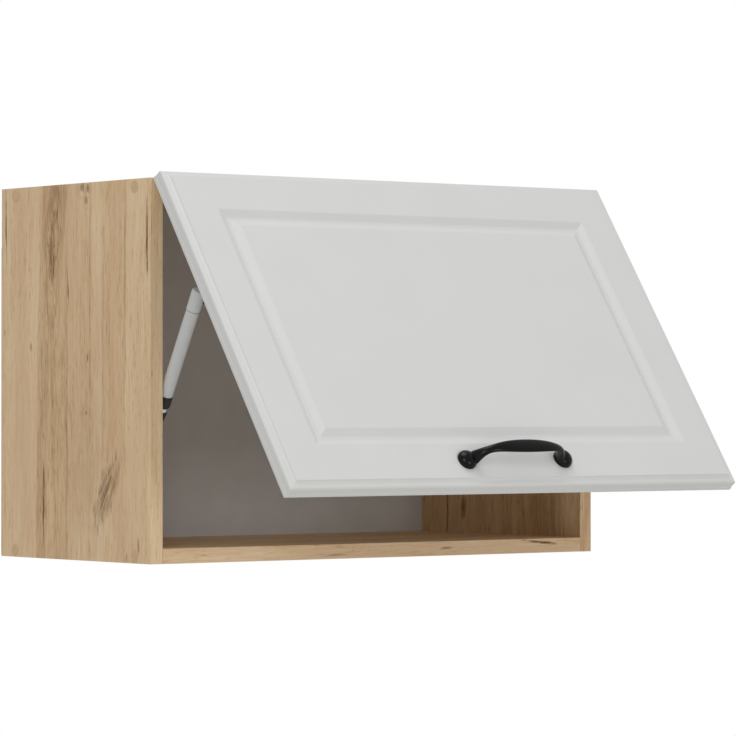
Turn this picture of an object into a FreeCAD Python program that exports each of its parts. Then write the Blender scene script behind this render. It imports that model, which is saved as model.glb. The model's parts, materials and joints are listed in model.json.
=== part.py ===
import FreeCAD, Part
import Sketcher

import os
import re

# Kitchen wall cabinet with a lift-up flap, concealed hinges and one gas strut at the left.
# X runs to the right, Y runs into the wall and Z runs up. The origin is the middle
# of the wall face of the back panel. The flap stands open at rest_angle.

SIZES = {
    # carcass
    "cabinet_width": 600,
    "cabinet_height": 400,
    "cabinet_depth": 290,
    "board_thk": 16,
    "band_thk": 1,
    "back_thk": 3,
    "back_inset": 1.5,
    # joints of the carcass
    "joint_inset": 28,
    "dowel_inset": 74,
    "dowel_dia": 8,
    "dowel_len": 30,
    "dowel_in_side": 12,
    "confirmat_dia": 7,
    "confirmat_len": 50,
    "confirmat_head_dia": 10,
    "confirmat_head_len": 4,
    "cap_dia": 13,
    "cap_thk": 0.6,
    "nail_dia": 1.6,
    "nail_len": 18,
    "nail_head_dia": 3.6,
    "nail_head_len": 0.6,
    "nail_from_end": 40,
    # chipboard screw of every plate
    "chip_dia": 3.5,
    "chip_len": 15,
    "chip_head_dia": 7,
    "chip_head_len": 2,
    # wall hanging
    "hanger_size": 60,
    "hanger_edge": 3,
    "hanger_thk": 2,
    "notch_gap": 1,
    "key_from_side": 38,
    "key_from_top": 46,
    "key_dia": 11,
    "key_slot": 5.5,
    "key_rise": 12,
    "hanger_screw_near": 20,
    "hanger_screw_far": 48,
    # flap
    "rest_angle": 35,
    "flap_gap": 2,
    "flap_reveal": 2,
    "top_reveal": 1,
    "bottom_reveal": 1,
    "flap_thk": 18,
    "edge_round": 3,
    "field_step": 3,
    "field_inset": 9,
    "groove_inset": 51,
    "groove_slope": 8.3,
    "groove_width": 20.6,
    "groove_depth": 4,
    "bumper_dia": 9,
    "bumper_thk": 1.5,
    "bumper_from_side": 8,
    "bumper_from_bottom": 12,
    # handle
    "handle_span": 128,
    "handle_from_bottom": 30,
    "foot_dia": 22,
    "foot_rise": 9,
    "leg_dia": 9,
    "bow_rise": 29.5,
    "bow_thk": 5.2,
    "bow_width": 13.5,
    "handle_screw_dia": 4,
    "handle_screw_bite": 6,
    "handle_screw_head_dia": 8,
    "handle_screw_head_len": 2,
    # concealed hinges
    "hinge_from_side": 100,
    "cup_inset": 23,
    "cup_dia": 35,
    "cup_depth": 12,
    "cup_wall": 1.2,
    "rim_thk": 1,
    "rim_lip": 1.5,
    "wing_len": 54,
    "wing_height": 15,
    "wing_screw_pitch": 44,
    "strap_radius": 36,
    "strap_thk": 3,
    "strap_width": 10,
    "strap_front_angle": 15.5,
    "strap_back_angle": 61.5,
    "strap_share": 0.81,
    "cheek_gap": 0.5,
    "cheek_thk": 2,
    "cheek_setback": 0.5,
    "cheek_len": 40,
    "cheek_drop": 40,
    "web_thk": 2,
    "web_start": 34,
    "web_end": 70,
    "pin_dia": 2.8,
    "pin_gap": 0.3,
    "inner_pin_angle": 12,
    "outer_pin_angle": 40,
    "hinge_plate_thk": 3,
    "hinge_plate_width": 38,
    "hinge_plate_start": 40,
    "hinge_plate_screw_pitch": 26,
    "arm_screw_dia": 4,
    "arm_screw_len": 4.5,
    "arm_screw_head_dia": 7,
    "arm_screw_head_len": 1.5,
    # gas strut
    "strut_gap": 8.5,
    "strut_angle": 29.2,
    "pivot_offset": 31,
    "stud_dia": 8,
    "stud_bite": 3,
    "stud_clearance": 0.1,
    "ear_gap": 1,
    "ear_thk": 2,
    "ear_width": 16,
    "bracket_len": 34,
    "bracket_width": 26,
    "bracket_screw_pitch": 20,
    "head_dia": 15,
    "head_top": 7,
    "head_end": 16.5,
    "head_wall": 1,
    "tube_dia": 14,
    "tube_bore": 10,
    "collar_dia": 15,
    "collar_len": 13,
    "ring_dia": 12,
    "ring_len": 5,
    "nose_dia": 13,
    "nose_tip_dia": 10,
    "nose_len": 12,
    "rod_dia": 6,
    "rod_clearance": 0.1,
    "rod_bite": 10,
    "socket_dia": 11,
    "socket_len": 22,
    "eye_dia": 14,
    "eye_width": 10,
    "seat_clearance": 0.3,
    "seat_width": 30,
    "seat_height": 46,
    "seat_thk": 2,
    "seat_screw_pitch": 30,
    # every cutting tool runs past the face that it cuts by this much
    "overrun": 2,
}

OUTER = "(cabinet_width / 2)"
INNER = "(cabinet_width / 2 - board_thk)"
TOP = "(cabinet_height / 2)"
CEILING = "(cabinet_height / 2 - board_thk)"
FRONT = "(-cabinet_depth)"
BOARD_FRONT = "(band_thk - cabinet_depth)"
REAR = "(-back_thk)"
PANEL_MIDDLE = "(cabinet_height / 2 - board_thk / 2)"

# The flap turns about its own upper rear edge.
HINGE_Y = "(-cabinet_depth - flap_gap)"
HINGE_Z = "(cabinet_height / 2 - top_reveal)"
FLAP_WIDTH = "(cabinet_width - 2 * flap_reveal)"
FLAP_HEIGHT = "(cabinet_height - top_reveal - bottom_reveal)"
ARM_HALF = "(strap_width / 2 + cheek_gap + cheek_thk)"

# Middle plane of a strut, its pin on the flap and its seat on the side panel. The pin keeps its
# share of the flap's height and the seat its share of the cabinet's height.
PIVOT_SHARE = 0.321608
SEAT_SHARE = 0.145
STRUT_X = "(cabinet_width / 2 - board_thk - strut_gap)"
PIVOT_REACH = f"({PIVOT_SHARE} * {FLAP_HEIGHT})"
PIVOT_Y = f"({HINGE_Y} - {PIVOT_REACH} * sin(rest_angle) + pivot_offset * cos(rest_angle))"
PIVOT_Z = f"({HINGE_Z} - {PIVOT_REACH} * cos(rest_angle) - pivot_offset * sin(rest_angle))"
SEAT_Z = f"({SEAT_SHARE} * cabinet_height - {TOP})"
STRUT_LEN = f"(({PIVOT_Z} - {SEAT_Z}) / cos(strut_angle))"
SEAT_Y = f"({PIVOT_Y} + {STRUT_LEN} * sin(strut_angle))"

# Where the strut's pieces end and its rod starts, as distances from the pin.
TUBE_SHARE = 0.4665
ROD_SHARE = 0.27783
TUBE_END = f"({TUBE_SHARE} * {STRUT_LEN})"
COLLAR_END = f"({TUBE_END} + collar_len)"
RING_END = f"({COLLAR_END} + ring_len)"
NOSE_END = f"({RING_END} + nose_len)"
ROD_START = f"({ROD_SHARE} * {STRUT_LEN})"

# Half of the handle's bow from a foot to its middle. Each station has its share of half the span and of the
# middle's rise, its width and thickness, and the slope of the bow in degrees.
BOW_STATIONS = (
    (0.898, 0.074, "1.08 * leg_dia", "1.04 * leg_dia", 75),
    (0.872, 0.297, "0.975 * leg_dia", "0.92 * leg_dia", 72),
    (0.841, 0.483, "0.855 * leg_dia", "0.81 * leg_dia", 62),
    (0.786, 0.654, "0.79 * leg_dia", "0.7 * leg_dia", 46),
    (0.695, 0.799, "0.765 * leg_dia", "0.6 * leg_dia", 28),
    (0.5625, 0.903, "0.69 * bow_width", "0.96 * bow_thk", 14),
    (0.344, 0.978, "0.905 * bow_width", "0.98 * bow_thk", 5),
)
BOW_MIDDLE = (0, 1, "bow_width", "bow_thk", 0)

# Places of the nails along half an edge of the back panel.
NAIL_ROW_SHARES = (-1, -0.5, 0, 0.5, 1)
NAIL_SIDE_SHARES = (-0.6, 0, 0.4)

SIDES = {"left": -1, "right": 1}
# Sides that have a gas strut.
STRUT_SIDES = {"left": -1}
ENDS = (-1, 1)
NAME = re.compile(r"[a-z_]+")
RIGHT_ANGLE = 90
X_AXIS = FreeCAD.Vector(1, 0, 0)
Y_AXIS = FreeCAD.Vector(0, 1, 0)
Z_AXIS = FreeCAD.Vector(0, 0, 1)
HEADINGS = {
    "x": FreeCAD.Rotation(Y_AXIS, RIGHT_ANGLE),
    "-x": FreeCAD.Rotation(Y_AXIS, -RIGHT_ANGLE),
    "y": FreeCAD.Rotation(X_AXIS, -RIGHT_ANGLE),
    "-y": FreeCAD.Rotation(X_AXIS, RIGHT_ANGLE),
    "z": FreeCAD.Rotation(),
    "-z": FreeCAD.Rotation(X_AXIS, 2 * RIGHT_ANGLE),
}

doc = FreeCAD.newDocument("wall_cabinet")
nodes = []


def fill_sheet():
    """Writes the driving dimensions to the sheet, one aliased cell each."""
    sheet = doc.addObject("Spreadsheet::Sheet", "Sheet")
    for row, (name, size) in enumerate(SIZES.items(), start=1):
        sheet.set(f"A{row}", name)
        sheet.set(f"B{row}", str(size))
        sheet.setAlias(f"B{row}", name)
    doc.recompute()


def bind(item, prop, formula):
    """Ties a property to a formula of the sheet's names."""
    def cell(word):
        return f"Sheet.{word.group()}" if word.group() in SIZES else word.group()
    item.setExpression(prop, NAME.sub(cell, formula))


def put(item, at):
    """Ties an item's position to three formulas."""
    for axis, formula in zip("xyz", at):
        bind(item, f"Placement.Base.{axis}", formula)


def swing(item, at, angle):
    """Turns a finished item about the X axis through its own origin, and puts it at a point."""
    item.Placement = FreeCAD.Placement(FreeCAD.Vector(), FreeCAD.Rotation(X_AXIS, RIGHT_ANGLE))
    put(item, at)
    bind(item, "Placement.Rotation.Angle", angle)
    return item


def on_flap(item):
    """Moves an item from the closed flap's frame to the open flap."""
    return swing(item, ("0", HINGE_Y, HINGE_Z), "-rest_angle")


def on_strut(item):
    """Moves an item from the hanging strut's frame to the leaning strut."""
    return swing(item, ("0", PIVOT_Y, PIVOT_Z), "strut_angle")


def node(item, label):
    """Keeps an item as a sub-part of its own."""
    item.Label = label
    nodes.append(item)
    return item


def mirrored(sign, near, far):
    """Low and high X of a span given by its distances from the middle plane."""
    return (near, far) if sign > 0 else (f"-({far})", f"-({near})")


def heading(sign):
    """Name of the X direction that leads away from the middle plane on one side."""
    return "x" if sign > 0 else "-x"


def block(name, x, y, z):
    """A box between low and high formulas on each axis."""
    item = doc.addObject("Part::Box", name)
    for prop, (low, high) in zip(("Length", "Width", "Height"), (x, y, z)):
        bind(item, prop, f"({high}) - ({low})")
    put(item, (x[0], y[0], z[0]))
    return item


def disc(name, radius, at, along, reach):
    """A cylinder from a point along one axis."""
    item = doc.addObject("Part::Cylinder", name)
    item.Placement = FreeCAD.Placement(FreeCAD.Vector(), HEADINGS[along])
    bind(item, "Radius", radius)
    bind(item, "Height", reach)
    put(item, at)
    return item


def cone(name, start_radius, end_radius, at, along, reach):
    """A truncated cone from a point along one axis."""
    item = doc.addObject("Part::Cone", name)
    item.Placement = FreeCAD.Placement(FreeCAD.Vector(), HEADINGS[along])
    bind(item, "Radius1", start_radius)
    bind(item, "Radius2", end_radius)
    bind(item, "Height", reach)
    put(item, at)
    return item


def dome(name, radius, at, along, rise):
    """Half an ellipsoid that rises from a point along one axis."""
    item = doc.addObject("Part::Ellipsoid", name)
    item.Placement = FreeCAD.Placement(FreeCAD.Vector(), HEADINGS[along])
    item.Angle1 = 0
    bind(item, "Radius1", rise)
    bind(item, "Radius2", radius)
    put(item, at)
    return item


def join(name, *items):
    """One solid of several that overlap."""
    item = doc.addObject("Part::MultiFuse", name)
    item.Shapes = list(items)
    item.Refine = True
    return item


def overlap(name, *items):
    """What several solids share."""
    item = doc.addObject("Part::MultiCommon", name)
    item.Shapes = list(items)
    return item


def group(name, items):
    """Separate solids kept together."""
    item = doc.addObject("Part::Compound", name)
    item.Links = list(items)
    return item


def cut(name, base, *tools):
    """A base with tools taken away."""
    item = doc.addObject("Part::Cut", name)
    item.Base = base
    item.Tool = tools[0] if len(tools) == 1 else group(f"{name}_tools", tools)
    return item


def flush_screw(name, kind, at, along):
    """A screw or nail whose head tapers into the surface, named by its family of sizes."""
    head = cone(f"{name}_head", f"{kind}_head_dia / 2", f"{kind}_dia / 2", at, along, f"{kind}_head_len")
    shank = disc(f"{name}_shank", f"{kind}_dia / 2", at, along, f"{kind}_len")
    return join(name, head, shank)


def fill_joint_rows(name, inset, make):
    """Makes one fastener at each end of each of the four corner joints of the carcass."""
    made = []
    for side, sign in SIDES.items():
        for level in ENDS:
            for end, y in (("front", f"{BOARD_FRONT} + {inset}"), ("back", f"{REAR} - {inset}")):
                tag = f"{name}_{side}_{'top' if level > 0 else 'bottom'}_{end}"
                made.append(make(tag, sign, y, f"{level} * {PANEL_MIDDLE}"))
    return made


def make_joints():
    """Dowels, connecting screws and the caps over the screws."""
    def dowel(tag, sign, y, z):
        return disc(tag, "dowel_dia / 2", (f"{sign} * ({INNER} + dowel_in_side)", y, z), heading(-sign), "dowel_len")

    def confirmat(tag, sign, y, z):
        return flush_screw(tag, "confirmat", (f"{sign} * {OUTER}", y, z), heading(-sign))

    def cap(tag, sign, y, z):
        return disc(tag, "cap_dia / 2", (f"{sign} * {OUTER}", y, z), heading(sign), "cap_thk")

    dowels = node(group("dowels", fill_joint_rows("dowel", "dowel_inset", dowel)), "dowels")
    screws = node(group("screws", fill_joint_rows("screw", "joint_inset", confirmat)), "connecting_screws")
    node(group("caps", fill_joint_rows("cap", "joint_inset", cap)), "screw_caps")
    return dowels, screws


def make_nails():
    """Nails through the back panel into the rear edges of the boards."""
    spots = []
    for share in NAIL_ROW_SHARES:
        spots.append((f"{share} * ({OUTER} - hanger_edge - hanger_size - nail_from_end)", PANEL_MIDDLE))
        spots.append((f"{share} * ({OUTER} - nail_from_end)", f"-{PANEL_MIDDLE}"))
    for sign in ENDS:
        for share in NAIL_SIDE_SHARES:
            spots.append((f"{sign} * ({OUTER} - board_thk / 2)", f"{share} * ({TOP} - nail_from_end)"))
    nails = [flush_screw(f"nail_{count}", "nail", (x, "0", z), "-y") for count, (x, z) in enumerate(spots)]
    return node(group("nails", nails), "back_nails")


def make_hangers():
    """Corner plates with a keyhole each, and their screws into the rear edges."""
    reach = "(hanger_edge + hanger_size)"
    outside = f"{REAR} + hanger_thk"
    plates = {}
    screws = []
    for side, sign in SIDES.items():
        key_x = f"{sign} * ({OUTER} - key_from_side)"
        key_z = f"{TOP} - key_from_top"
        plates[side] = cut(
            f"hanger_blank_{side}",
            block(f"hanger_sheet_{side}", mirrored(sign, f"{OUTER} - {reach}", f"{OUTER} - hanger_edge"),
                  (REAR, outside), (f"{TOP} - {reach}", f"{TOP} - hanger_edge")),
            disc(f"key_entry_{side}", "key_dia / 2", (key_x, f"{REAR} - overrun", key_z), "y",
                 "hanger_thk + 2 * overrun"),
            disc(f"key_seat_{side}", "key_slot / 2", (key_x, f"{REAR} - overrun", f"{key_z} + key_rise"), "y",
                 "hanger_thk + 2 * overrun"),
            block(f"key_way_{side}", (f"{key_x} - key_slot / 2", f"{key_x} + key_slot / 2"),
                  (f"{REAR} - overrun", f"{outside} + overrun"), (key_z, f"{key_z} + key_rise")))
        for spot in ("hanger_screw_near", "hanger_screw_far"):
            at_top = (f"{sign} * ({OUTER} - {spot})", outside, PANEL_MIDDLE)
            at_side = (f"{sign} * ({OUTER} - board_thk / 2)", outside, f"{TOP} - {spot}")
            screws.append(flush_screw(f"{spot}_top_{side}", "chip", at_top, "-y"))
            screws.append(flush_screw(f"{spot}_side_{side}", "chip", at_side, "-y"))
    fasteners = node(group("hanger_fasteners", screws), "hanger_screws")
    for side in SIDES:
        node(cut(f"hanger_{side}", plates[side], fasteners), f"hanger_plate_{side}")
    return fasteners


def hinge_middle(sign):
    """X of the middle of one hinge."""
    return f"{sign} * ({OUTER} - hinge_from_side)"


def make_hinge_plates():
    """Mounting plates under the top panel, with their screws."""
    under = f"{CEILING} - hinge_plate_thk"
    screws = []
    arm_screws = []
    middle_y = f"{FRONT} + (hinge_plate_start + web_end) / 2"
    for side, sign in SIDES.items():
        for end in ENDS:
            at = (f"{hinge_middle(sign)} + {end} * hinge_plate_screw_pitch / 2", middle_y, under)
            screws.append(flush_screw(f"hinge_plate_screw_{side}_{end + 1}", "chip", at, "z"))
        at = (hinge_middle(sign), middle_y, f"{under} - web_thk")
        arm_screws.append(flush_screw(f"arm_screw_{side}", "arm_screw", at, "z"))
    plate_screws = node(group("hinge_plate_fasteners", screws), "hinge_plate_screws")
    web_screws = node(group("arm_fasteners", arm_screws), "hinge_arm_screws")
    for side, sign in SIDES.items():
        sheet = block(f"hinge_plate_sheet_{side}",
                      (f"{hinge_middle(sign)} - hinge_plate_width / 2",
                       f"{hinge_middle(sign)} + hinge_plate_width / 2"),
                      (f"{FRONT} + hinge_plate_start", f"{FRONT} + web_end"), (under, CEILING))
        node(cut(f"hinge_plate_cut_{side}", sheet, plate_screws, web_screws), f"hinge_plate_{side}")
    return plate_screws, web_screws


def make_hinge_arms(web_screws):
    """Forked arms on the mounting plates, with two pins each that guide the strap."""
    under = f"{CEILING} - hinge_plate_thk"
    inner_pin = "(strap_radius - strap_thk / 2 - pin_gap - pin_dia / 2)"
    outer_pin = "(strap_radius + strap_thk / 2 + pin_gap + pin_dia / 2)"
    pins = []
    blanks = {}
    for side, sign in SIDES.items():
        middle = hinge_middle(sign)
        pieces = [block(f"arm_web_{side}", (f"{middle} - {ARM_HALF}", f"{middle} + {ARM_HALF}"),
                        (f"{FRONT} + web_start", f"{FRONT} + web_end"), (f"{under} - web_thk", under))]
        for end in ENDS:
            low, high = mirrored(end, f"{ARM_HALF} - cheek_thk", ARM_HALF)
            pieces.append(block(f"arm_cheek_{side}_{end + 1}", (f"{middle} + {low}", f"{middle} + {high}"),
                                (f"{FRONT} + cheek_setback", f"{FRONT} + cheek_len"),
                                (f"{HINGE_Z} - cheek_drop", under)))
        blanks[side] = join(f"arm_blank_{side}", *pieces)
        for kind, radius in (("inner_pin", inner_pin), ("outer_pin", outer_pin)):
            at = (f"{middle} - {ARM_HALF}", f"{HINGE_Y} + {radius} * sin({kind}_angle)",
                  f"{HINGE_Z} - {radius} * cos({kind}_angle)")
            pins.append(disc(f"{kind}_{side}", "pin_dia / 2", at, "x", f"2 * {ARM_HALF}"))
    guide_pins = node(group("guide_pins", pins), "hinge_pins")
    for side in SIDES:
        node(cut(f"arm_{side}", blanks[side], guide_pins, web_screws), f"hinge_arm_{side}")


def make_straps():
    """Curved straps that run between the arms and the cups about the flap's edge."""
    for side, sign in SIDES.items():
        start = f"{hinge_middle(sign)} - strap_width / 2"
        sector = disc(f"strap_sector_{side}", "strap_radius + strap_thk / 2", (start, "0", "0"), "x", "strap_width")
        bind(sector, "Angle", "strap_front_angle + strap_back_angle")
        core = disc(f"strap_core_{side}", "strap_radius - strap_thk / 2", (f"{start} - overrun", "0", "0"), "x",
                    "strap_width + 2 * overrun")
        strap = cut(f"strap_{side}", sector, core)
        swing(strap, ("0", HINGE_Y, HINGE_Z), "-strap_front_angle - strap_share * rest_angle")
        node(strap, f"hinge_strap_{side}")


def make_cups():
    """Hinge cups let into the flap, with their screws; returns what the flap is cut by."""
    tools = []
    blanks = {}
    screws = []
    for side, sign in SIDES.items():
        middle = hinge_middle(sign)
        body = disc(f"cup_body_{side}", "cup_dia / 2", (middle, "0", "-cup_inset"), "-y", "cup_depth")
        rim = disc(f"cup_rim_{side}", "cup_dia / 2 + rim_lip", (middle, "0", "-cup_inset"), "y", "rim_thk")
        wing = block(f"cup_wing_{side}", (f"{middle} - wing_len / 2", f"{middle} + wing_len / 2"),
                     ("0", "rim_thk"), ("-cup_inset - wing_height / 2", "-cup_inset + wing_height / 2"))
        hollow = disc(f"cup_hollow_{side}", "cup_dia / 2 - cup_wall", (middle, "rim_thk + overrun", "-cup_inset"),
                      "-y", "overrun + rim_thk + cup_depth - cup_wall")
        blanks[side] = cut(f"cup_blank_{side}", join(f"cup_solid_{side}", body, rim, wing), hollow)
        tools.append(body)
        for end in ENDS:
            at = (f"{middle} + {end} * wing_screw_pitch / 2", "rim_thk", "-cup_inset")
            screws.append(flush_screw(f"cup_screw_{side}_{end + 1}", "chip", at, "-y"))
    cup_tool = group("cup_screw_tool", screws)
    node(on_flap(group("cup_fasteners", screws)), "hinge_cup_screws")
    for side in SIDES:
        node(on_flap(cut(f"cup_{side}", blanks[side], cup_tool)), f"hinge_cup_{side}")
    return tools + [cup_tool]


def make_flap_brackets():
    """Angle bracket and stud that hold each strut on the flap; returns their screws."""
    inner_face = f"({STRUT_X} - head_dia / 2 - ear_gap - ear_thk)"
    blanks = {}
    studs = {}
    screws = []
    for side, sign in STRUT_SIDES.items():
        ear_x = mirrored(sign, inner_face, f"{inner_face} + ear_thk")
        foot = block(f"bracket_foot_{side}",
                     mirrored(sign, f"{inner_face} + ear_thk - bracket_width", f"{inner_face} + ear_thk"),
                     ("0", "ear_thk"), (f"-{PIVOT_REACH} - bracket_len / 2", f"-{PIVOT_REACH} + bracket_len / 2"))
        ear = block(f"bracket_ear_{side}", ear_x, ("0", "pivot_offset"),
                    (f"-{PIVOT_REACH} - ear_width / 2", f"-{PIVOT_REACH} + ear_width / 2"))
        end = disc(f"bracket_end_{side}", "ear_width / 2", (ear_x[0], "pivot_offset", f"-{PIVOT_REACH}"), "x",
                   "ear_thk")
        blanks[side] = join(f"bracket_blank_{side}", foot, ear, end)
        studs[side] = disc(f"flap_stud_{side}", "stud_dia / 2",
                           (f"{sign} * {inner_face}", "pivot_offset", f"-{PIVOT_REACH}"), heading(sign),
                           "ear_thk + ear_gap + stud_bite")
        for step in ENDS:
            at = (f"{sign} * ({inner_face} - bracket_width / 2 + ear_thk)", "ear_thk",
                  f"-{PIVOT_REACH} + {step} * bracket_screw_pitch / 2")
            screws.append(flush_screw(f"bracket_screw_{side}_{step + 1}", "chip", at, "-y"))
    tool = group("bracket_screw_tool", screws)
    node(on_flap(group("bracket_fasteners", screws)), "strut_flap_screws")
    for side in STRUT_SIDES:
        node(on_flap(cut(f"bracket_{side}", blanks[side], studs[side], tool)), f"strut_flap_bracket_{side}")
        node(on_flap(group(f"flap_stud_kept_{side}", [studs[side]])), f"strut_flap_stud_{side}")
    return tool


def bow_section(name, station, level):
    """One oval section of the handle's bow, square to the bow's run."""
    along, rise, width, thickness, slope = station
    item = doc.addObject("Part::Ellipse", name)
    turn = FreeCAD.Rotation(Z_AXIS, -slope) * FreeCAD.Rotation(X_AXIS + Z_AXIS, 2 * RIGHT_ANGLE)
    item.Placement = FreeCAD.Placement(FreeCAD.Vector(), turn)
    bind(item, "MajorRadius", f"{width} / 2")
    bind(item, "MinorRadius", f"{thickness} / 2")
    put(item, (f"{along} * handle_span / 2", f"-flap_thk - {rise} * (bow_rise - bow_thk / 2)", level))
    return item


def make_handle():
    """Bow handle on two button feet, with its screws; returns the screws."""
    face = "(-flap_thk)"
    level = f"(handle_from_bottom - {FLAP_HEIGHT})"
    left = [(-along, *shape) for along, *shape in BOW_STATIONS]
    right = [(*shape, -slope) for *shape, slope in reversed(BOW_STATIONS)]
    bow = doc.addObject("Part::Loft", "bow")
    bow.Sections = [bow_section(f"bow_section_{count}", station, level)
                    for count, station in enumerate((*left, BOW_MIDDLE, *right))]
    bow.Solid = True
    pieces = [bow]
    screws = []
    for side, sign in SIDES.items():
        x = f"{sign} * handle_span / 2"
        pieces.append(dome(f"foot_{side}", "foot_dia / 2", (x, face, level), "-y", "foot_rise"))
        head = disc(f"handle_screw_head_{side}", "handle_screw_head_dia / 2", (x, "0", level), "y",
                    "handle_screw_head_len")
        shank = disc(f"handle_screw_shank_{side}", "handle_screw_dia / 2", (x, "handle_screw_head_len", level), "-y",
                     "handle_screw_head_len + flap_thk + handle_screw_bite")
        screws.append(join(f"handle_screw_{side}", head, shank))
    tool = group("handle_screw_tool", screws)
    node(on_flap(cut("handle_cut", join("handle_solid", *pieces), tool)), "handle")
    node(on_flap(group("handle_fasteners", screws)), "handle_screws")
    return tool


def rectangle(body, name, inset, depth):
    """A sketch of the flap's outline drawn in by an inset, at a depth from the rear face."""
    sketch = body.newObject("Sketcher::SketchObject", name)
    plane = next(item for item in body.Origin.OriginFeatures if item.Role == "XZ_Plane")
    sketch.AttachmentSupport = [(plane, "")]
    sketch.MapMode = "FlatFace"
    bind(sketch, "AttachmentOffset.Base.z", depth)
    corners = [FreeCAD.Vector(x, y, 0) for x, y in ((-1, -1), (1, -1), (1, 1), (-1, 1))]
    count = len(corners)
    for index in range(count):
        sketch.addGeometry(Part.LineSegment(corners[index], corners[(index + 1) % count]), False)
    for index in range(count):
        sketch.addConstraint(Sketcher.Constraint("Coincident", index, 2, (index + 1) % count, 1))
        sketch.addConstraint(Sketcher.Constraint("Vertical" if index % 2 else "Horizontal", index))
    sketch.addConstraint(Sketcher.Constraint("Symmetric", 0, 1, 2, 1, -1, 1))
    for side, line, length in (("DistanceX", 0, FLAP_WIDTH), ("DistanceY", 1, FLAP_HEIGHT)):
        index = sketch.addConstraint(Sketcher.Constraint(side, line, 1, line, 2, 1.0))
        bind(sketch, f"Constraints[{index}]", f"{length} - 2 * ({inset})")
    return sketch


def add_pad(body, sketch, name, length):
    """Raises a sketch towards the front of the flap."""
    pad = body.newObject("PartDesign::Pad", name)
    pad.Profile = sketch
    bind(pad, "Length", length)
    doc.recompute()
    return pad


def add_loft(body, kind, name, sections):
    """Adds or takes away the slope between two sketches."""
    loft = body.newObject(f"PartDesign::{kind}", name)
    loft.Profile = sections[0]
    loft.Sections = sections[1:]
    loft.Ruled = True
    doc.recompute()
    return loft


def make_flap(tools):
    """Milled flap panel: rounded edge, raised face, and a groove round the middle field."""
    body = doc.addObject("PartDesign::Body", "flap_body")
    board = add_pad(body, rectangle(body, "flap_outline", "0", "0"), "flap_board", "flap_thk - field_step")
    front = board.Shape.BoundBox.YMin
    rims = [f"Edge{count}" for count, edge in enumerate(board.Shape.Edges, start=1)
            if max(abs(vertex.Y - front) for vertex in edge.Vertexes) < Part.Precision.confusion()]
    fillet = body.newObject("PartDesign::Fillet", "flap_edge")
    fillet.Base = (board, rims)
    bind(fillet, "Radius", "edge_round")
    doc.recompute()
    add_pad(body, rectangle(body, "face_outline", "field_inset", "flap_thk - field_step"), "flap_face", "field_step")
    valley = "flap_thk - groove_depth"
    before = body.Shape.Volume
    add_loft(body, "SubtractiveLoft", "groove_outer_slope", [
        rectangle(body, "groove_outline", "groove_inset", "flap_thk"),
        rectangle(body, "groove_floor", "groove_inset + groove_slope", valley)])
    sunk = body.Shape.Volume
    add_loft(body, "AdditiveLoft", "groove_inner_slope", [
        rectangle(body, "field_floor", "groove_inset + groove_width - groove_slope", valley),
        rectangle(body, "field_outline", "groove_inset + groove_width", "flap_thk")])
    if not sunk < body.Shape.Volume < before:
        raise RuntimeError("the groove round the flap's field is missing")
    put(body, ("0", "0", f"-{FLAP_HEIGHT} / 2"))
    node(on_flap(cut("flap", body, *tools)), "flap_panel")


def make_bumpers():
    """Soft stops on the lower corners of the flap's rear face."""
    stops = [disc(f"bumper_{side}", "bumper_dia / 2",
                  (f"{sign} * ({FLAP_WIDTH} / 2 - bumper_from_side)", "0", f"bumper_from_bottom - {FLAP_HEIGHT}"),
                  "y", "bumper_thk")
             for side, sign in SIDES.items()]
    node(on_flap(group("bumpers", stops)), "flap_bumpers")


def ring(name, radius, bore, x, start, end):
    """A round sleeve on a strut's axis, between two distances from the strut's pin."""
    outside = disc(f"{name}_outside", radius, (x, "0", f"-({start})"), "-z", f"({end}) - ({start})")
    return cut(name, outside, bore_tool(name, bore, x, start, end))


def bore_tool(name, bore, x, start, end):
    """A tool that bores right through between two distances from the strut's pin."""
    return disc(f"{name}_bore", bore, (x, "0", f"overrun - ({start})"), "-z", f"({end}) - ({start}) + 2 * overrun")


def make_strut_cylinder(side, sign):
    """Head, tube, collar, ring and nose of one gas strut."""
    x = f"{sign} * {STRUT_X}"
    guide = "rod_dia / 2 + rod_clearance"
    head = disc(f"head_solid_{side}", "head_dia / 2", (x, "0", "head_top"), "-z", "head_top + head_end")
    chamber = disc(f"head_chamber_{side}", "tube_bore / 2 - head_wall", (x, "0", "head_top - head_wall"), "-z",
                   "head_top + head_end")
    socket = disc(f"head_socket_{side}", "stud_dia / 2 + stud_clearance",
                  (f"{sign} * ({STRUT_X} - head_dia / 2 - overrun)", "0", "0"), heading(sign),
                  "overrun + stud_bite + stud_clearance")
    node(on_strut(cut(f"head_{side}", head, chamber, socket)), f"strut_head_{side}")
    tube = ring(f"tube_{side}", "tube_dia / 2", "tube_bore / 2", x, "head_end", TUBE_END)
    node(on_strut(tube), f"strut_tube_{side}")
    collar = ring(f"collar_{side}", "collar_dia / 2", guide, x, TUBE_END, COLLAR_END)
    node(on_strut(collar), f"strut_collar_{side}")
    band = ring(f"band_{side}", "ring_dia / 2", guide, x, COLLAR_END, RING_END)
    node(on_strut(band), f"strut_ring_{side}")
    taper = cone(f"nose_taper_{side}", "nose_dia / 2", "nose_tip_dia / 2", (x, "0", f"-{RING_END}"), "-z",
                 "nose_len")
    nose = cut(f"nose_{side}", taper, bore_tool(f"nose_{side}", guide, x, RING_END, NOSE_END))
    node(on_strut(nose), f"strut_nose_{side}")


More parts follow.
